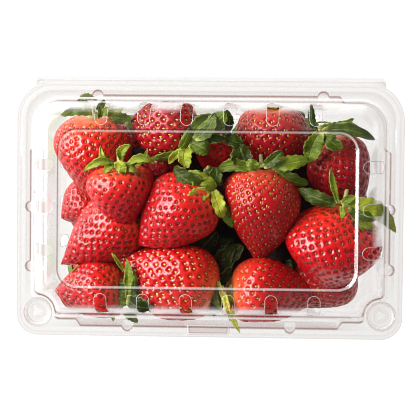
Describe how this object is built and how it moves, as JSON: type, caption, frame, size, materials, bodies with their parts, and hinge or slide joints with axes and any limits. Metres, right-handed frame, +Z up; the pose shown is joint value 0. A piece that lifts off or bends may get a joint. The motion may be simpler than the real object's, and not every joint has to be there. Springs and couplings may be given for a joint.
{
  "type": "punnet of strawberries",
  "caption": "Clear hinged plastic punnet, shut, with air slots, snap buttons and a label panel, filled with a heap of ripe strawberries with green crowns.",
  "frame": {"origin": "on the table under the middle of the pack", "axes": "+Z up, +X along the pack's length to the right, +Y from the front edge with the buttons to the hinge at the back"},
  "size_m": [0.187, 0.126, 0.0863],
  "materials": {
    "tub_plastic": "clear thermoformed sheet",
    "lid_plastic": "clear thermoformed sheet",
    "strawberries": "moist ripe fruit"
  },
  "bodies": {
    "tub": {"tub": "tub_plastic", "strawberries": "strawberries"},
    "lid": {"lid": "lid_plastic"}
  },
  "joints": [
    {"name": "lid_hinge", "type": "hinge", "parent": "tub", "child": "lid", "pos_m": [0, 0.0622, 0.0668], "axis": [-1, 0, 0], "range_deg": [0, 180]}
  ]
}
